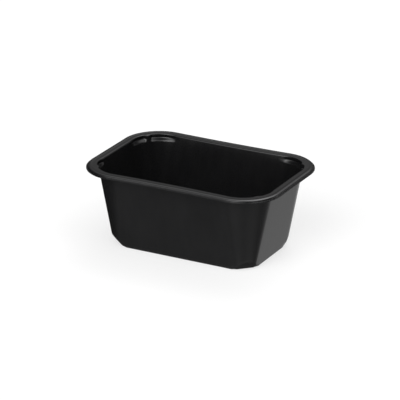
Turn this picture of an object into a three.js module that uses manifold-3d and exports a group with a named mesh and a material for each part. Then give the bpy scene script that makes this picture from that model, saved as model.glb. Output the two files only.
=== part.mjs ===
// An empty sealable food tray: one sheet of black plastic, drawn into a deep tapered bowl.
//
// Every level of the tray is the same outline, a rectangle with round corners, set in from the
// edge of the rim by some inset. So the whole shape is a section, a list of (inset, height)
// points, carried once round that outline. The outside and the cavity are two such solids, the
// four corners of the base are planed off both, and the tray is the one less the other.
//
// Millimetres. X runs along the length, Y across it, Z up. The origin is the middle of the
// underside, so the tray stands on Z = 0.

import * as THREE from 'three';
import * as BufferGeometryUtils from 'three/addons/utils/BufferGeometryUtils.js';
import Module from 'manifold-3d';

const wasm = await Module();
wasm.setup();

// ---- Driving dimensions ----

const LENGTH = 137;             // over the rim
const WIDTH = 95.6;             // over the rim
const HEIGHT = 54.4;            // from the underside to the top of the flange
const SHEET = 0.6;              // thickness of the plastic

const RIM_CORNER = 26.1;        // radius of the rim's corners, at its edge
const RIM_OVERHANG = 6.55;      // from the outside of the wall to the edge of the rim
const CORNER_EASE = 2.9;        // how much rounder the wall turns its corners, at the top
const BOW = 0.8;                // how far the long sides are drawn in halfway along, at the top

const TAPER = 10.75;            // how far the wall leans in from the top to the base
const BROW_ROUND = 1.0;         // radius where the flange turns down into the bowl
const BASE_ROUND = 1.2;         // radius of the edge round the base

const LIP_REACH = 3.2;          // width of the rolled lip outside the flat of the flange
const LIP_CREST = 6.2;          // radius of the lip's flat crest
const LIP_ROUND = 0.65;         // radius where the crest turns down
const LIP_TRIM = 0.95;          // width of the flat strip that the lip ends in
const LIP_DROP = 1.3;           // from the flange down to the top of that strip

const FACET_CUT = 11.5;         // length that each facet takes off the two sides of the base
const FACET_LEAN = 40.8;        // lean of the facet out of the vertical, in degrees

const LUG_DEPTH = 2.0;          // how far a stacking lug stands out beyond the wall
const LUG_BROW = 0.4;           // share of that depth right under the flange
const LUG_SHELF = 2.6;          // from the flange down to where the lug is deepest
const LUG_FOOT = 4.35;          // from the flange down to where the lug runs back into the wall
const RIB_ANGLE = 39;           // where the rib between two lugs stands, from the end wall, degrees
const RIB_HALF = 2.5;           // half the angle that the rib takes up
const RIB_FLANK = 4.5;          // angle over which the lug opens beside the rib

const CORNER_STEPS = 22;        // straight steps round each corner
const LONG_STEPS = 8;           // steps along each long side
const SHORT_STEPS = 2;          // steps along each short side

// ---- Values that follow ----

const SLOPE = TAPER / HEIGHT;                       // inset gained for each millimetre down
const DRAFT = Math.atan(SLOPE);
const TURN = Math.PI / 2 - DRAFT;                   // angle between the flange and the wall
const SHEET_ACROSS = SHEET / Math.cos(DRAFT);       // the wall's thickness, measured level
const BASE_INSET = RIM_OVERHANG + TAPER;
const BROW_INSET = RIM_OVERHANG + SHEET_ACROSS - BROW_ROUND * Math.tan(TURN / 2);

// ---- The outline ----

const clamp01 = (value) => Math.min(1, Math.max(0, value));
const smooth = (value) => value * value * (3 - 2 * value);

// Share of the full lug at a place on a corner. The angle runs from 0 at the end wall to 90 at
// the long wall. Both lugs are deepest beside the rib and die away towards the straight walls.
function lugShare(angle) {
  const fromRib = angle - RIB_ANGLE;
  const span = fromRib < 0 ? RIB_ANGLE : 90 - RIB_ANGLE;
  const opening = smooth(clamp01((Math.abs(fromRib) - RIB_HALF) / RIB_FLANK));
  return opening * (1 - (Math.abs(fromRib) / span) ** 3);
}

// One ring of points at a level, anticlockwise seen from above. The wall's corners are rounder
// than the rim's, so their centres lie further in. The flange passes from the one to the other.
function ring({ inset, z, lug = 0 }) {
  const rise = clamp01(z / HEIGHT);
  const ease = CORNER_EASE * rise * clamp01((inset - LIP_REACH) / (BROW_INSET - LIP_REACH));
  const radius = RIM_CORNER - inset + ease;
  const centreX = LENGTH / 2 - RIM_CORNER - ease;
  const centreY = WIDTH / 2 - RIM_CORNER - ease;
  const bow = BOW * rise;
  const signs = [[1, 1], [-1, 1], [-1, -1], [1, -1]];
  const points = [];
  signs.forEach(([signX, signY], quarter) => {
    for (let step = 0; step <= CORNER_STEPS; step += 1) {
      const turned = 90 * (step / CORNER_STEPS);
      const angle = quarter % 2 === 0 ? turned : 90 - turned;
      const reach = radius + lug * lugShare(angle);
      const radians = THREE.MathUtils.degToRad(angle);
      points.push(new THREE.Vector3(
        signX * (centreX + reach * Math.cos(radians)),
        signY * (centreY + reach * Math.sin(radians)),
        z,
      ));
    }
    const long = quarter % 2 === 0;
    const steps = long ? LONG_STEPS : SHORT_STEPS;
    for (let step = 1; step < steps; step += 1) {
      const along = 1 - 2 * (step / steps);
      points.push(long
        ? new THREE.Vector3(
          signX * centreX * along,
          signY * (centreY + radius - bow * (1 - along ** 2)),
          z,
        )
        : new THREE.Vector3(signX * (centreX + radius), signY * centreY * along, z));
    }
  });
  return points;
}

// A closed solid through a stack of rings, with a point in the middle of its first and last
// level. The levels run from the bottom of the solid, round its outside, to its top.
function skin(section) {
  const rings = section.map(ring);
  const count = rings[0].length;
  const middle = (level) => new THREE.Vector3(0, 0, section.at(level).z);
  const vertices = [middle(0), ...rings.flat(), middle(-1)];
  const last = vertices.length - 1;
  const at = (level, place) => 1 + level * count + (place % count);
  const faces = [];
  for (let place = 0; place < count; place += 1) {
    faces.push(0, at(0, place + 1), at(0, place));
    for (let level = 0; level < rings.length - 1; level += 1) {
      const [a, b] = [at(level, place), at(level, place + 1)];
      const [c, d] = [at(level + 1, place), at(level + 1, place + 1)];
      faces.push(a, b, d, a, d, c);
    }
    faces.push(last, at(rings.length - 1, place), at(rings.length - 1, place + 1));
  }
  return solid(
    new Float32Array(vertices.flatMap((vertex) => vertex.toArray())),
    new Uint32Array(faces),
  );
}

const solid = (vertProperties, triVerts) => new wasm.Manifold(
  new wasm.Mesh({ numProp: 3, vertProperties, triVerts }),
);

// ---- The section ----

const degrees = THREE.MathUtils.degToRad;
const wallInset = (z) => RIM_OVERHANG + SLOPE * (HEIGHT - z);

// Share of the lug's depth at a distance below the flange.
const lugRise = (depth) => (depth < LUG_SHELF
  ? LUG_BROW + (1 - LUG_BROW) * clamp01(depth / LUG_SHELF)
  : clamp01((LUG_FOOT - depth) / (LUG_FOOT - LUG_SHELF)));

// Points of an arc round a centre. The angle is 0 straight above the centre, and grows outwards.
function arc(inset, z, radius, from, to, steps) {
  return Array.from({ length: steps + 1 }, (_, step) => {
    const angle = from + (to - from) * (step / steps);
    return { inset: inset - radius * Math.sin(angle), z: z + radius * Math.cos(angle) };
  });
}

// The bend between flange and wall, from the wall up. The two faces of the sheet share its centre.
const brow = (radius, steps) => arc(BROW_INSET, HEIGHT - BROW_ROUND, radius, -TURN, 0, steps)
  .map(({ inset, z }) => ({ inset, z, lug: LUG_DEPTH * lugRise(HEIGHT - z) }));

// The levels at which the lug bends, on the outside of the sheet (gap 0) or its inside.
function lugLevels(gap, drop) {
  return [LUG_SHELF, LUG_FOOT].map((depth) => {
    const z = HEIGHT - depth - drop;
    return { inset: wallInset(z) + gap, z, lug: LUG_DEPTH * lugRise(depth) };
  });
}

// The edge round the base, from the base up into the wall.
const baseInset = BASE_INSET + BASE_ROUND * Math.tan(TURN / 2);
const baseEdge = (radius, steps) => arc(
  baseInset,
  BASE_ROUND,
  radius,
  Math.PI,
  Math.PI - TURN,
  steps,
);

// The lip of the rim, from the flange outwards: its flat crest, then the bend down to the strip.
// The crest is as wide as the lip, less what the bend takes off its end.
const STEEP = degrees(90);
const crestEnd = Math.asin((LIP_REACH - LIP_TRIM - LIP_ROUND) / (LIP_CREST - LIP_ROUND));
const lipBendZ = HEIGHT - LIP_CREST + (LIP_CREST - LIP_ROUND) * Math.cos(crestEnd);
const lip = (gap, steps) => [
  ...arc(LIP_REACH, HEIGHT - LIP_CREST, LIP_CREST - gap, 0, crestEnd, 2),
  ...arc(LIP_TRIM + LIP_ROUND, lipBendZ, LIP_ROUND - gap, crestEnd, STEEP, steps).slice(1),
];

const stripTop = HEIGHT - LIP_DROP;
const stripUnder = stripTop - SHEET;

const outsideSection = [
  ...baseEdge(BASE_ROUND, 3),
  ...lugLevels(0, SHEET / 2).reverse(),
  ...brow(BROW_ROUND - SHEET, 3),
  ...lip(SHEET, 1),
  { inset: LIP_TRIM + SHEET, z: stripUnder },
  { inset: 0, z: stripUnder },
  { inset: 0, z: stripTop },
  { inset: LIP_TRIM, z: stripTop },
  ...lip(0, 4).reverse(),
];

const cavitySection = [
  ...baseEdge(BASE_ROUND - SHEET, 2),
  ...lugLevels(SHEET_ACROSS, 0).reverse(),
  ...brow(BROW_ROUND, 4),
  { inset: BROW_INSET, z: HEIGHT + 1, lug: LUG_DEPTH * LUG_BROW },
];

// ---- The facets of the base ----

// A block whose face is the facet's plane at one corner, moved into the tray by some depth.
function facetBlock(signX, signY, depth) {
  const lean = degrees(FACET_LEAN);
  const outward = new THREE.Vector3(signX, signY, 0).normalize();
  const normal = outward.clone().multiplyScalar(Math.cos(lean));
  normal.z = -Math.sin(lean);
  const cutX = signX * (LENGTH / 2 - BASE_INSET - FACET_CUT / 2);
  const cutY = signY * (WIDTH / 2 - BASE_INSET - FACET_CUT / 2);
  const size = 50;
  const geometry = new THREE.BoxGeometry(size, size, size);
  geometry.translate(0, 0, size / 2);
  geometry.applyQuaternion(
    new THREE.Quaternion().setFromUnitVectors(new THREE.Vector3(0, 0, 1), normal),
  );
  geometry.translate(cutX - depth * normal.x, cutY - depth * normal.y, -depth * normal.z);
  geometry.deleteAttribute('normal');
  geometry.deleteAttribute('uv');
  const merged = BufferGeometryUtils.mergeVertices(geometry);
  return solid(
    new Float32Array(merged.attributes.position.array),
    new Uint32Array(merged.index.array),
  );
}

function withFacets(body, depth) {
  let result = body;
  for (const signX of [-1, 1]) {
    for (const signY of [-1, 1]) {
      result = result.subtract(facetBlock(signX, signY, depth));
    }
  }
  return result;
}

// ---- The tray ----

function trayGeometry() {
  const outside = withFacets(skin(outsideSection), 0);
  const cavity = withFacets(skin(cavitySection), SHEET);
  const mesh = outside.subtract(cavity).getMesh();
  const geometry = new THREE.BufferGeometry();
  geometry.setAttribute('position', new THREE.BufferAttribute(mesh.vertProperties, 3));
  geometry.setIndex(new THREE.BufferAttribute(mesh.triVerts, 1));
  geometry.computeVertexNormals();
  return geometry;
}

const blackPlastic = new THREE.MeshStandardMaterial({
  name: 'black plastic',
  color: 0x17181a,
  roughness: 0.32,
  metalness: 0,
});

const tray = new THREE.Mesh(trayGeometry(), blackPlastic);
tray.name = 'tray';

const group = new THREE.Group();
group.add(tray);

export default group;
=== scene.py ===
# %% [markdown]
# # A sealable food tray of black plastic
#
# The real tray is one sheet of black polypropylene. It was heated, drawn down into a mould and
# cut free round its rim, so everything on it is that one thin sheet: a flat floor with bevelled
# corners, a tapered wall, pockets under the corners of the rim that keep stacked trays apart, a
# flat flange that a film is sealed to, and a rolled lip that ends in a cut edge.
#
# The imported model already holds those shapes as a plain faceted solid. Here the same sheet is
# made again as one fine, smooth surface, and gets its finish, its light and its camera.

import bpy
import numpy as np
from mathutils import Matrix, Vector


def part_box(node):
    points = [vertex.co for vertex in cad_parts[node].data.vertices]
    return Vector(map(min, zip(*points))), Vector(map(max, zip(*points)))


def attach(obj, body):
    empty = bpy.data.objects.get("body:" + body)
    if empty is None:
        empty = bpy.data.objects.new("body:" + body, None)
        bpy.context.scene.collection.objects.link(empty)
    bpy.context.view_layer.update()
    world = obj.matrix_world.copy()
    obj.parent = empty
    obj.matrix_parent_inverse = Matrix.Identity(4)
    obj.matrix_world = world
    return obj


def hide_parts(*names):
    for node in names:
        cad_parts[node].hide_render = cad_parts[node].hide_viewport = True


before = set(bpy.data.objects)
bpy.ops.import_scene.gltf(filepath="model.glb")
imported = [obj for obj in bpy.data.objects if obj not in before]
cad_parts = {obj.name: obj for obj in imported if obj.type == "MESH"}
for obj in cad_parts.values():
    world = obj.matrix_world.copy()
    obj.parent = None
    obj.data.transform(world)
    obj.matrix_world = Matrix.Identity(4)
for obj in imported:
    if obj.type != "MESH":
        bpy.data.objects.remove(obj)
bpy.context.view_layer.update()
low, high = (np.array(corner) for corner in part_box("tray"))
print("frame:", len(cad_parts), "node, its box in mm is", np.round((high - low) * 1000, 2))

# %% [markdown]
# ## The driving sizes
#
# Length, width and height come from the frame, so the fine surface can't drift away from the
# solid. The other sizes are the real tray's, as far as the photograph shows them. Blender works
# in metres here, so each is written as millimetres times MM.

# %% Sizes
MM = 0.001
LENGTH, WIDTH, HEIGHT = (float(side) for side in high - low)

SHEET = 0.6 * MM  # thickness of the plastic
RIM_CORNER = 26.1 * MM  # radius of the rim's corners, at its cut edge
RIM_OVERHANG = 6.55 * MM  # from the outside of the wall to the cut edge
CORNER_EASE = 2.9 * MM  # how much rounder the wall turns its corners, at the top
BOW = 0.8 * MM  # how far the long sides are drawn in halfway along, at the top
TAPER = 10.75 * MM  # how far the wall leans in from the flange to the base

SLOPE = TAPER / HEIGHT
CLIMB = np.pi / 2 - np.arctan(SLOPE)  # angle at which the wall climbs, from the level
print(f"sizes: the wall leans {90 - np.degrees(CLIMB):.1f} degrees out of the vertical")

# %% [markdown]
# ## The outline, seen from above
#
# Every level of the tray is the same outline, a rectangle with round corners, set in from the
# cut edge by more or less. Each place on such an outline has a centre, the point that the
# corner's arc is struck from, and a direction straight out. A level then lies at `centre +
# outward * reach`, where `reach` is the level's corner radius, in the corners and along the
# sides alike. So the whole tray is a function of two numbers, the place round the outline and
# the row along the section, which is what numpy does well. The centres are kept as shares of a
# quarter's length and width, so that a level may move them in and turn its corners rounder.

# %% Places round the outline
CORNER_STEPS = 56  # round each corner
LONG_STEPS = 20  # along each long side
SHORT_STEPS = 10  # along each short side
CENTRE = np.array([LENGTH / 2 - RIM_CORNER, WIDTH / 2 - RIM_CORNER])


def corner_places(signs, rising):
    """A quarter turn about one centre: outward is (cos a, sin a) for a from 0 to 90 degrees.

    The angle a is 0 at the end wall and 90 degrees at the long wall. It rises in every second
    corner and falls in the others, so that the places always run anticlockwise.
    """
    angle = np.linspace(0, np.pi / 2, CORNER_STEPS + 1)
    angle = angle if rising else angle[::-1]
    outward = signs * np.stack([np.cos(angle), np.sin(angle)], axis=1)
    return np.column_stack([np.tile(signs, (len(angle), 1)), outward, angle])


def side_places(signs, long):
    """Even steps from one corner's centre to the next, with one fixed outward direction."""
    steps = LONG_STEPS if long else SHORT_STEPS
    share = (1 - 2 * np.arange(1, steps) / steps)[:, None]
    moving = np.array([1, 0]) if long else np.array([0, 1])
    middle = signs * np.where(moving, share, 1)
    outward = np.tile(signs * (1 - moving), (steps - 1, 1))
    return np.column_stack([middle, outward, np.full(steps - 1, np.pi / 2 if long else 0)])


places = []
for quarter, signs in enumerate(np.array([(1, 1), (-1, 1), (-1, -1), (1, -1)])):
    rising = quarter % 2 == 0
    places += [corner_places(signs, rising), side_places(signs, long=rising)]
places = np.concatenate(places)
centre_share, outward, corner_angle = places[:, 0:2], places[:, 2:4], places[:, 4]
bow_share = 1 - centre_share[:, 0] ** 2
print("outline:", len(places), "places")

# %% [markdown]
# ## The section through the sheet
#
# A saw cut from the middle of the tray out to its edge would show the section: along the floor,
# up the wall, over the brow onto the flange, over the rolled lip and out along a narrow strip.
# Its bends are true arcs, because a mould is milled with round cutters and because gloss shows
# every flat. Each row of the section holds its reach, its height and its heading, the direction
# in which the section runs on. The heading is what gives the sheet its thickness later: the
# other face lies at right angles to it.

# %% Straight stretches and bends
def towards(angle):
    """The unit vector (cos angle, sin angle) for each angle."""
    return np.stack([np.cos(angle), np.sin(angle)], axis=-1)


def bend(corner, radius, before, after, steps):
    """The arc that rounds a corner between two headings.

    It starts radius * tan(turn / 2) before the corner, and its points are the start plus or
    minus radius * (left of the first heading - left of the present heading).
    """
    turn = after - before
    heading = np.linspace(before, after, steps + 1)
    left = towards(heading + np.pi / 2)
    start = np.array(corner) - radius * np.tan(abs(turn) / 2) * towards(before)
    return np.column_stack([start + np.sign(turn) * radius * (left[0] - left), heading])


def straight(start, end, shares):
    """Rows between two rows, at these shares of the way: start + (end - start) * share."""
    step = end[:2] - start[:2]
    points = start[:2] + step * np.asarray(shares)[:, None]
    return np.column_stack([points, np.full(len(points), np.arctan2(step[1], step[0]))])


def between(count):
    """Even shares of the way, with both ends left out."""
    return np.arange(1, count) / count


# %% The bends of the upper face, from the floor to the strip
BASE_ROUND = 0.6 * MM  # radius inside the edge of the floor
BROW_ROUND = 1.0 * MM  # radius where the flange turns down into the bowl
LIP_REACH = 3.2 * MM  # from the cut edge in to where the lip begins to roll
LIP_CREST = 6.2 * MM  # radius of the lip's nearly flat crest
LIP_ROUND = 0.65 * MM  # radius where the crest turns down
LIP_TRIM = 0.95 * MM  # width of the strip that the lip ends in
LIP_DROP = 1.3 * MM  # from the flange down to the top of that strip
LIP_LIFT = 0.18 * MM  # how far the lip is raised, which puts its crest 0.15 mm over the flange
LIFT_WIDTH = 1.2 * MM  # width over which it rises, half of it on the flange
CREASE_ROUND = 0.25 * MM  # radius between the lip and the strip
CUT_ROUND = 0.08 * MM  # radius that the cutting die leaves on the cut edge


def inner_wall(height):
    """Reach of the wall's inner face: the outer face's, less the sheet measured level."""
    return RIM_CORNER - RIM_OVERHANG - SLOPE * (HEIGHT - height) - SHEET / np.sin(CLIMB)


floor_bend = bend((inner_wall(SHEET), SHEET), BASE_ROUND, 0, CLIMB, steps=8)
brow_bend = bend((inner_wall(HEIGHT), HEIGHT), BROW_ROUND, CLIMB, 0, steps=16)

# %% The rolled lip
CREST_STEPS, EDGE_STEPS = 9, 11

strip_top = HEIGHT - LIP_DROP
lip_start, lip_end = RIM_CORNER - LIP_REACH, RIM_CORNER - LIP_TRIM


def roll_over(middle, radius, angles):
    """Rows of an arc over its middle: middle + radius * (sin a, cos a), heading down by a."""
    points = np.array(middle) + radius * np.stack([np.sin(angles), np.cos(angles)], axis=1)
    return np.column_stack([points, -angles])


inner_radius = LIP_CREST - LIP_ROUND
crest_end = np.arcsin((lip_end - LIP_ROUND - lip_start) / inner_radius)
crest_middle = (lip_start, HEIGHT - LIP_CREST)
edge_middle = (lip_end - LIP_ROUND, HEIGHT - LIP_CREST + inner_radius * np.cos(crest_end))
crest_angles = np.linspace(0, crest_end, CREST_STEPS + 1)
edge_angles = np.linspace(crest_end, np.pi / 2, EDGE_STEPS + 1)
lip_crest = roll_over(crest_middle, LIP_CREST, crest_angles[:-1])
lip_edge = roll_over(edge_middle, LIP_ROUND, edge_angles)
crease = bend((lip_end, strip_top), CREASE_ROUND, -np.pi / 2, 0, steps=6)
print("section: the brow starts", round((HEIGHT - brow_bend[0, 1]) / MM, 2), "mm down")

# %% The whole upper face
FACET_ZONE = 8.5 * MM  # the bevels end below this height, so rows lie close together there
LUG_ZONE = 5.2 * MM  # and the pockets end above this depth under the flange
FACET_STEPS, WALL_STEPS, LUG_STEPS = 22, 18, 16


def steps_up(start, end, steps):
    """Even steps from start to end, without the start itself."""
    return np.linspace(start, end, steps + 1)[1:]


wall_start, wall_end = floor_bend[-1], brow_bend[0]
wall_rise = wall_end[1] - wall_start[1]
wall_heights = np.concatenate([
    steps_up(wall_start[1], FACET_ZONE, FACET_STEPS),
    steps_up(FACET_ZONE, HEIGHT - LUG_ZONE, WALL_STEPS),
    steps_up(HEIGHT - LUG_ZONE, wall_end[1], LUG_STEPS)[:-1],
])
cut_start = np.array([RIM_CORNER - CUT_ROUND, strip_top, 0])

upper = np.concatenate([
    floor_bend,
    straight(wall_start, wall_end, (wall_heights - wall_start[1]) / wall_rise),
    brow_bend,
    straight(brow_bend[-1], lip_crest[0], between(5)),
    lip_crest,
    lip_edge,
    crease,
    straight(crease[-1], cut_start, between(3)),
])
under = upper[::-1].copy()
under[:, :2] += SHEET * towards(under[:, 2] - np.pi / 2)
print("section:", len(upper), "rows on each face")

# %% [markdown]
# ## The cut edge and the floor
#
# The cutting die leaves the rim's edge square, with hardly any rounding. The floor closes both
# faces in the middle. It needs no arcs, because its levels are the edge of the floor shrunk
# towards the middle, and only where the bevels cross it do the rows lie close together.

# %% Rows for the cut edge and for the floor
FLOOR_CLOSE = 0.86  # share of the floor's size beyond which its rows lie close together
FLOOR_STEPS, FLOOR_CLOSE_STEPS = 10, 22

top_corner = (RIM_CORNER, strip_top)
low_corner = (RIM_CORNER, strip_top - SHEET)
cut_edge = np.concatenate([
    bend(top_corner, CUT_ROUND, 0, -np.pi / 2, steps=4),
    bend(low_corner, CUT_ROUND, -np.pi / 2, -np.pi, steps=4),
])
floor_share = np.concatenate([
    np.linspace(0, FLOOR_CLOSE, FLOOR_STEPS + 1)[1:-1],
    np.linspace(FLOOR_CLOSE, 1, FLOOR_CLOSE_STEPS + 1)[:-1],
])


def with_shares(rows, shrink, depth):
    """Adds what the carrying needs: how far the level is shrunk and how deep in the sheet."""
    return np.column_stack([rows, np.full(len(rows), shrink), np.full(len(rows), depth)])


def floor_rows(edge_row, depth):
    """Copies of the floor's edge, each to be shrunk towards the middle."""
    return np.column_stack([
        np.tile(edge_row, (len(floor_share), 1)), floor_share, np.full(len(floor_share), depth),
    ])


section = np.concatenate([
    floor_rows(upper[0], SHEET),
    with_shares(upper, 1, SHEET),
    with_shares(cut_edge, 1, 0),
    with_shares(under, 1, 0),
    floor_rows(under[-1], 0)[::-1],
])
reach, height, _, shrink, depth_in = section.T[:, :, None]
print("section:", len(section), "rows in all")

# %% [markdown]
# ## The stacking lugs
#
# Under each corner of the flange the mould has two pockets, with a narrow rib between them. An
# empty tray that is set into another stands on their ledges, so the stack doesn't jam. Each
# pocket is deepest beside the rib and dies away towards the straight walls, it opens a little
# right under the flange, is deepest a little lower, and runs back into the wall over a short
# sloping ledge. The pocket pushes the sheet straight out, so it is only one more term of the
# reach: the product of a share round the corner and a share down the wall. Above the brow it
# dies away across the flange, so that the lip runs true.

# %% Shares of the lugs
LUG_DEPTH = 2.0 * MM  # how far a lug stands out beyond the wall, before its shelf is rounded
LUG_BROW = 0.4  # share of that depth right under the flange
LUG_SHELF = 2.6 * MM  # depth under the flange at which the lug stands out furthest
LUG_FOOT = 4.35 * MM  # depth at which its ledge has run back into the wall
RIB_ANGLE = 39.0  # where the rib stands, in degrees from the end wall
RIB_HALF = 2.5  # half the angle that the rib takes up
RIB_FLANK = 4.5  # angle over which the pocket opens beside it
LUG_SOFT = 0.16  # rounding of the shelf and the foot, as a share of the depth


def smooth(share):
    """An S-shaped step from 0 to 1: 3 s^2 - 2 s^3."""
    share = np.clip(share, 0, 1)
    return share * share * (3 - 2 * share)


def soft_max(value, least, width):
    """The larger of two values, with the kink between them rounded off by a parabola.

    Within width of the kink it is least + (value - least + width)^2 / (4 width).
    """
    over = value - least
    return least + np.where(
        abs(over) < width, (over + width) ** 2 / (4 * width), np.maximum(over, 0)
    )


def lug_round_corner(angle):
    """1 beside the rib, 0 on the rib itself and where the straight walls begin."""
    from_rib = np.degrees(angle) - RIB_ANGLE
    span = np.where(from_rib < 0, RIB_ANGLE, 90 - RIB_ANGLE)
    return smooth((abs(from_rib) - RIB_HALF) / RIB_FLANK) * (1 - (abs(from_rib) / span) ** 3)


def lug_down_wall(depth):
    """Rises in a line from LUG_BROW to 1 at the shelf, then falls in a line to 0 at the foot."""
    rising = LUG_BROW + (1 - LUG_BROW) * depth / LUG_SHELF
    falling = (LUG_FOOT - depth) / (LUG_FOOT - LUG_SHELF)
    return soft_max(-soft_max(-rising, -falling, LUG_SOFT), 0, LUG_SOFT)


# The lug lies half a sheet lower on the outer face, so that its ledge keeps its thickness.
lug_share = lug_round_corner(corner_angle)
below_flange = HEIGHT - height - np.where(depth_in > 0, 0, SHEET / 2)
brow_reach = brow_bend[-1, 0]
inside_lip = np.clip((lip_start - reach) / (lip_start - brow_reach), 0, 1)
lug_rows = lug_down_wall(below_flange) * inside_lip
lug_push = LUG_DEPTH * lug_rows * lug_share
print("lugs: largest push in mm", round(float(lug_push.max() / MM), 2))

# %% [markdown]
# ## The section carried round the outline
#
# Now both numbers meet: one array operation places every row at every place. The long sides
# bow in a little towards the top, as thin trays do once they have cooled. The wall turns its
# corners rounder than the rim does, most so at the top, so its centres lie further in by the
# same amount as its reach is longer. The lip is raised a little, so that its crest stands above
# the flange and a fine line runs round between the two.

# %% Carry the section round
bow = BOW * bow_share * np.clip(height / HEIGHT, 0, 1)
ease = CORNER_EASE * inside_lip * np.clip(height / HEIGHT, 0, 1)
level = reach + ease + lug_push - bow
centre = centre_share * (CENTRE - ease[:, :, None])
sheet = np.empty((len(section), len(places), 3))
sheet[:, :, :2] = shrink[:, :, None] * (centre + outward * level[:, :, None])
on_lip = smooth((reach - lip_start) / LIFT_WIDTH + 0.5)
above_strip = np.clip((height - strip_top) / LIP_DROP, 0, 1)
sheet[:, :, 2] = height + LIP_LIFT * on_lip * above_strip
print("sheet:", sheet.shape[0] * sheet.shape[1], "points before the bevels")

# %% [markdown]
# ## The bevels of the base
#
# A flat plane cuts off each corner of the base. Whatever lies beyond the plane is moved back
# onto it along the plane's own normal, on both faces of the sheet, with the plane one thickness
# further in on the upper face. That keeps the grid whole, where a Boolean cut would leave slivers
# that show in the gloss. Close to the plane the move sets in along a parabola, which rounds the
# bevel's edges.

# %% Plane the four corners
FACET_CUT = 11.5 * MM  # length that the bevel takes off the two sides of the base
FACET_LEAN = np.radians(40.8)  # lean of the bevel out of the vertical
FACET_SOFT = 0.35 * MM  # how close to the plane the rounding of its edges sets in

base_half = np.array([LENGTH, WIDTH]) / 2 - RIM_OVERHANG - TAPER
normal_across = np.cos(FACET_LEAN) / np.sqrt(2)
normal_down = np.sin(FACET_LEAN)
plane_offset = normal_across * (base_half - FACET_CUT / 2).sum()

side = np.sign(sheet[:, :, :2])
beyond = (
    normal_across * abs(sheet[:, :, :2]).sum(axis=2)
    - normal_down * sheet[:, :, 2]
    - (plane_offset - depth_in)
)
rounding = np.where(depth_in > 0, FACET_SOFT, 2 * FACET_SOFT)
move = soft_max(beyond, 0, rounding)
sheet[:, :, :2] -= side * normal_across * move[:, :, None]
sheet[:, :, 2] += normal_down * move
apex = sheet[:, :, 2][move > rounding].max()
print(f"bevels: they reach {apex / MM:.1f} mm up the corners")

# %% [markdown]
# ## The mesh
#
# The grid closes round the outline by itself. Its first and last rows close in the middle of
# the floor with one point each. Quads and the two fans of triangles are index arithmetic, and
# foreach_set hands the arrays to the mesh in one go.

# %% Make the mesh
def closed_sheet(name, grid, first_pole, last_pole):
    """Mesh of a grid of points (rows, places), closed round the places and by two poles.

    Point (row, place) has index row * places + place, and the poles come last. Each quad runs
    (row, place), (row + 1, place), (row + 1, place + 1), (row, place + 1). The rows run outwards
    on the upper face and the places anticlockwise, so that way round the faces point out of the
    sheet.
    """
    rows, around = grid.shape[:2]
    index = np.arange(rows * around).reshape(rows, around)
    onward = np.roll(index, -1, axis=1)
    quads = np.stack([index[:-1], index[1:], onward[1:], onward[:-1]], axis=2).reshape(-1, 4)
    first, last = rows * around, rows * around + 1
    first_fan = np.stack([np.full(around, first), index[0], onward[0]], axis=1)
    last_fan = np.stack([np.full(around, last), onward[-1], index[-1]], axis=1)
    fans = np.concatenate([first_fan, last_fan])
    corners = np.concatenate([quads.ravel(), fans.ravel()])
    totals = np.concatenate([np.full(len(quads), 4), np.full(len(fans), 3)])
    mesh = bpy.data.meshes.new(name)
    mesh.vertices.add(rows * around + 2)
    mesh.vertices.foreach_set("co", np.concatenate([grid.ravel(), first_pole, last_pole]))
    mesh.loops.add(len(corners))
    mesh.loops.foreach_set("vertex_index", corners)
    mesh.polygons.add(len(totals))
    mesh.polygons.foreach_set("loop_start", np.cumsum(totals) - totals)
    mesh.polygons.foreach_set("use_smooth", np.ones(len(totals), bool))
    mesh.update()
    mesh.validate()
    return mesh


def volume_inside(mesh):
    """Signed volume of a closed mesh, positive where its faces point out, and its triangles.

    The volume is the sum over the triangles of a . (b x c) / 6.
    """
    mesh.calc_loop_triangles()
    points = np.empty(len(mesh.vertices) * 3)
    mesh.vertices.foreach_get("co", points)
    corners = np.empty(len(mesh.loop_triangles) * 3, int)
    mesh.loop_triangles.foreach_get("vertices", corners)
    a, b, c = points.reshape(-1, 3)[corners].reshape(-1, 3, 3).transpose(1, 0, 2)
    return float((a * np.cross(b, c)).sum() / 6), len(mesh.loop_triangles)


tray_mesh = closed_sheet("tray_sheet", sheet, [0, 0, SHEET], [0, 0, 0])
tray = bpy.data.objects.new("tray_sheet", tray_mesh)
bpy.context.scene.collection.objects.link(tray)
volume, triangles = volume_inside(tray_mesh)
print(f"mesh: {triangles} triangles round {volume * 1e6:.1f} cubic centimetres of plastic")

# %% [markdown]
# ## Where the tray gets rubbed
#
# Trays slide on a belt and against each other, so the edges that stand out lose a little of
# their gloss: the round under the base, the edges of its bevels and the crest of the rolled
# lip. How near a point is to one of those is known from its place in the grid, and goes into
# the mesh as a named attribute that the material reads.

# %% Store the rubbed edges
RUB_WIDTH = 0.9 * MM
BEVEL_RUB, LIP_RUB = 0.7, 0.5  # how much these are rubbed, where the round of the base is 1
RUBBED = 0.3  # a point counts as rubbed above this


def nearness(distance, width):
    """1 on the edge, falling off as the bell curve exp(-(distance / width)^2)."""
    return np.exp(-((distance / width) ** 2))


outer_face = depth_in == 0
on_base_edge = outer_face * (shrink == 1) * nearness(height - SHEET, RUB_WIDTH)
on_bevel_edge = outer_face * (height < FACET_ZONE) * nearness(beyond, RUB_WIDTH)
on_crest = (height > strip_top) * nearness(reach - lip_edge[0, 0], RUB_WIDTH)
rub = np.maximum(np.maximum(on_base_edge, BEVEL_RUB * on_bevel_edge), LIP_RUB * on_crest)
rub_with_poles = np.append(rub.ravel(), [0, 0]).astype(np.float32)
rub_attribute = tray_mesh.attributes.new("rub", "FLOAT", "POINT")
rub_attribute.data.foreach_set("value", rub_with_poles)
print("rubbed share of the points:", round(float((rub > RUBBED).mean()), 3))

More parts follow.
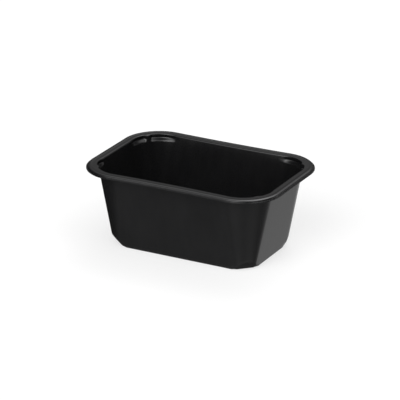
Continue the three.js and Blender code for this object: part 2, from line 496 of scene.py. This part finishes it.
# %% [markdown]
# ## A small language for materials
#
# A material is a graph of nodes. Written link by link it is hard to read, so one small class
# wraps a socket: Python's operators on it add Math nodes, and one method adds any other node
# from its type, its settings and what its sockets take.

# %% The socket class
class Socket:
    """An output socket of a node tree: + - * on it, and a number ** it, make Math nodes."""

    def __init__(self, tree, output=None):
        self.tree = tree
        self.output = output

    def node(self, kind, settings=None, values=None, output=0):
        """Adds a node: its settings first, then each socket by name or number."""
        made = self.tree.nodes.new(kind)
        for name, value in (settings or {}).items():
            setattr(made, name, value)
        for name, value in (values or {}).items():
            if isinstance(value, Socket):
                self.tree.links.new(value.output, made.inputs[name])
            else:
                made.inputs[name].default_value = value
        return Socket(self.tree, made.outputs[output]) if len(made.outputs) else made

    def math(self, operation, first, second):
        """One Math node of two values."""
        return self.node("ShaderNodeMath", {"operation": operation}, {0: first, 1: second})

    def __add__(self, other):
        return self.math("ADD", self, other)

    def __sub__(self, other):
        return self.math("SUBTRACT", self, other)

    def __rsub__(self, other):
        return self.math("SUBTRACT", other, self)

    def __mul__(self, other):
        return self.math("MULTIPLY", self, other)

    def __rpow__(self, other):
        return self.math("POWER", other, self)

    __radd__ = __add__
    __rmul__ = __mul__


def new_material(name):
    """A material with an empty tree, and its tree as a Socket to build on."""
    material = bpy.data.materials.new(name)
    material.use_nodes = True
    material.node_tree.nodes.clear()
    return material, Socket(material.node_tree)


# %% [markdown]
# ## The plastic
#
# Black polypropylene is dark right through, and what the eye sees is nearly all gloss. The gloss
# isn't even: the sheet cooled against a blasted mould, so it has a very fine grain and slow,
# shallow waves, and stretching has drawn faint streaks down the wall. Base colour, roughness and
# bump take all of it from noise on the object's own coordinates.

# %% The plastic's finish
DEEP_BLACK = (0.0050, 0.0050, 0.0053, 1)
DUSTY_BLACK = (0.0098, 0.0098, 0.0101, 1)
RUBBED_GREY = (0.020, 0.020, 0.0205, 1)
DUST = 1.6  # how strongly dust shows where a cloud and a streak meet
RUB = 0.8  # share of the rubbed grey where the edges are worn most

STREAKS = (260, 3, (1, 1, 0.06))  # each noise's scale per metre, its detail and its stretch
CLOUDS = (45, 4)
GRAIN = (1700, 3)
WAVES = (180, 1)
SCUFFS = (900, 5, (1, 1, 3))

CLEAN_ROUGHNESS = 0.11
UNEVEN_ROUGHNESS = 0.04  # what the clouds add at most, and the streaks as well
WORN_ROUGHNESS = 0.12
RELIEF = 0.06 * MM  # height that 1 in the relief stands for
RELIEF_STRENGTH = 0.25  # share of that height which the bump shows
WAVE_SHARE, GRAIN_SHARE, WORN_SHARE = 0.7, 0.10, 0.05
REFRACTION = 1.49  # index of polypropylene


# %% The plastic's material
def black_plastic():
    """Satin black sheet with streaks, waves, a fine grain and rubbed edges."""
    material, tree = new_material("black_plastic")
    place = tree.node("ShaderNodeTexCoord", output="Object")

    def noise(scale, detail, stretch=(1, 1, 1)):
        """Noise around 0.5 whose features are 1 / scale metres wide, stretched by 1 / stretch."""
        moved = tree.node("ShaderNodeMapping", None, {"Vector": place, "Scale": stretch})
        return tree.node(
            "ShaderNodeTexNoise", None, {"Vector": moved, "Scale": scale, "Detail": detail}
        )

    streaks = noise(*STREAKS)
    clouds = noise(*CLOUDS)
    grain = noise(*GRAIN)
    waves = noise(*WAVES)
    rub = tree.node("ShaderNodeAttribute", {"attribute_name": "rub"}, output="Fac")
    worn = rub * noise(*SCUFFS)

    tint = tree.node(
        "ShaderNodeMix",
        {"data_type": "RGBA"},
        {"Factor": clouds * streaks * DUST, 6: DEEP_BLACK, 7: DUSTY_BLACK},
        output=2,
    )
    colour = tree.node(
        "ShaderNodeMix",
        {"data_type": "RGBA"},
        {"Factor": worn * RUB, 6: tint, 7: RUBBED_GREY},
        output=2,
    )
    roughness = CLEAN_ROUGHNESS + UNEVEN_ROUGHNESS * clouds + UNEVEN_ROUGHNESS * streaks
    roughness = roughness + WORN_ROUGHNESS * worn
    relief = waves * WAVE_SHARE + grain * GRAIN_SHARE + worn * WORN_SHARE
    bump = tree.node(
        "ShaderNodeBump",
        None,
        {"Height": relief, "Strength": RELIEF_STRENGTH, "Distance": RELIEF},
    )
    surface = tree.node(
        "ShaderNodeBsdfPrincipled",
        None,
        {"Base Color": colour, "Roughness": roughness, "Normal": bump, "IOR": REFRACTION},
    )
    tree.node("ShaderNodeOutputMaterial", None, {"Surface": surface})
    return material


tray_mesh.materials.append(black_plastic())
print("material:", tray_mesh.materials[0].name)

# %% [markdown]
# ## The stage
#
# The tray stands on a plain pale floor that runs on past every view. Black gloss mirrors
# whatever is under it, and over a white floor it looks grey. A photographer hides such a floor
# from the gloss with dark cards, and here its ray visibility does the same. The floor glows a
# little by itself, which keeps it white and leaves the tray only a faint shadow.

# %% Floor
FLOOR_SIZE = 12.0  # metres
FLOOR_GREY = (0.4, 0.4, 0.4, 1)
FLOOR_GLOW = 0.62


def pale_floor():
    """A flat square sheet under the tray, with a matt white material that glows a little."""
    half = FLOOR_SIZE / 2
    mesh = bpy.data.meshes.new("floor")
    corners = [(-half, -half, 0), (half, -half, 0), (half, half, 0), (-half, half, 0)]
    mesh.from_pydata(corners, [], [(0, 1, 2, 3)])
    floor = bpy.data.objects.new("floor", mesh)
    bpy.context.scene.collection.objects.link(floor)
    material, tree = new_material("pale_floor")
    surface = tree.node(
        "ShaderNodeBsdfPrincipled",
        None,
        {
            "Base Color": FLOOR_GREY,
            "Roughness": 0.9,
            "Specular IOR Level": 0.0,
            "Emission Color": (1, 1, 1, 1),
            "Emission Strength": FLOOR_GLOW,
        },
    )
    tree.node("ShaderNodeOutputMaterial", None, {"Surface": surface})
    mesh.materials.append(material)
    floor.visible_glossy = False
    return floor


floor = pale_floor()

# %% [markdown]
# ## The light
#
# On black gloss the light is seen as what it mirrors, so a studio lights it with a few large
# soft boxes and leaves the rest of the room dim. Each light here is a soft spot on the sky round
# the tray: `strength * e ** (sharpness * (cosine - 1))`, where the cosine is that of the angle
# off the light's middle. The boxes, the fill and the backdrop stand above the horizon. The four
# cards lie below it and are what the tray's walls and the side of its lip mirror.

# %% Light
DIM_ROOM = 0.015  # strength of the sky outside the lights

# Each light is (azimuth, elevation, strength, sharpness), with the angles in degrees. Azimuth 0
# is behind the tray, 90 on its right and 180 in front of it.
SOFT_LIGHTS = {
    "front_box": (178, 41, 4.4, 19),
    "front_fill": (-166, 26, 2.6, 11),
    "right_box": (108, 52, 4.0, 26),
    "back_box": (-10, 54, 3.8, 26),
    "top_box": (38, 65, 1.6, 28),
    "backdrop": (-24, 34, 0.30, 18),
    "far_card": (48, -2, 0.85, 16),
    "behind_card": (3, -31, 0.67, 15),
    "right_card": (106, -42, 0.27, 6),
    "front_card": (-172, -50, 0.27, 7),
}


def sky_strength(tree):
    """The dim room plus every soft light, as one expression on the sky's direction."""
    direction = tree.node("ShaderNodeTexCoord", output="Generated")
    total = DIM_ROOM
    for azimuth, elevation, strength, sharpness in SOFT_LIGHTS.values():
        turn, rise = np.radians(azimuth), np.radians(elevation)
        middle = (np.sin(turn) * np.cos(rise), np.cos(turn) * np.cos(rise), np.sin(rise))
        cosine = tree.node(
            "ShaderNodeVectorMath",
            {"operation": "DOT_PRODUCT"},
            {0: direction, 1: middle},
            output="Value",
        )
        total = total + strength * np.e ** (sharpness * (cosine - 1))
    return total


world = bpy.data.worlds.new("dim_studio")
bpy.context.scene.world = world
world.use_nodes = True
world.node_tree.nodes.clear()
sky = Socket(world.node_tree)
background = sky.node(
    "ShaderNodeBackground", None, {"Color": (1, 1, 1, 1), "Strength": sky_strength(sky)}
)
sky.node("ShaderNodeOutputWorld", None, {"Surface": background})
bpy.context.scene.view_settings.view_transform = "Standard"
print("lights:", ", ".join(SOFT_LIGHTS))

# %% [markdown]
# ## The camera
#
# The photograph's weak perspective is that of a long lens, which looks from in front, a little
# to the right and above. The camera looks along one fixed direction, given as azimuth, elevation
# and a slight roll, and the middle of the picture lies about halfway up the tray.

# %% Camera
CAMERA_AZIMUTH = np.radians(27.808)  # 0 looks along +Y, 90 along -X
CAMERA_ELEVATION = np.radians(21.452)
CAMERA_ROLL = np.radians(-0.145)
CAMERA_DISTANCE = 1777.17 * MM
CAMERA_RIGHT = -0.1904 * MM  # how far right of the tray's origin the view's axis passes
CAMERA_UP = 27.847 * MM  # and how far above it, across the view
CAMERA_LENS = 245.58  # millimetres
CAMERA_SENSOR = 36.0  # width of the picture behind the lens, in millimetres
CAMERA_SIGHT = 50.0  # metres, well past the floor's far edge


def camera_matrix():
    """Columns right, up and back, and the place: right * x + up * y + back * distance.

    Back points from the tray to the camera. Right is level, and up is back x right, before the
    roll turns both about back.
    """
    azimuth, elevation, roll = CAMERA_AZIMUTH, CAMERA_ELEVATION, CAMERA_ROLL
    level = np.array([np.sin(azimuth), -np.cos(azimuth), 0]) * np.cos(elevation)
    back = level + [0, 0, np.sin(elevation)]
    right = np.array([np.cos(azimuth), np.sin(azimuth), 0])
    up = np.cross(back, right)
    rolled_right = np.cos(roll) * right - np.sin(roll) * up
    rolled_up = np.sin(roll) * right + np.cos(roll) * up
    eye = rolled_right * CAMERA_RIGHT + rolled_up * CAMERA_UP + back * CAMERA_DISTANCE
    matrix = np.identity(4)
    matrix[:3] = np.column_stack([rolled_right, rolled_up, back, eye])
    return Matrix(matrix.tolist())


camera_data = bpy.data.cameras.new("camera")
camera_data.lens = CAMERA_LENS
camera_data.sensor_width = CAMERA_SENSOR
camera_data.clip_end = CAMERA_SIGHT
camera = bpy.data.objects.new("camera", camera_data)
camera.matrix_world = camera_matrix()
bpy.context.scene.collection.objects.link(camera)
bpy.context.scene.camera = camera
print("camera: at", np.round(np.array(camera.matrix_world.translation), 3))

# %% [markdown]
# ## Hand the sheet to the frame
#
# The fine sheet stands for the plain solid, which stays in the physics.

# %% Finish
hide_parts("tray")
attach(tray, "root")
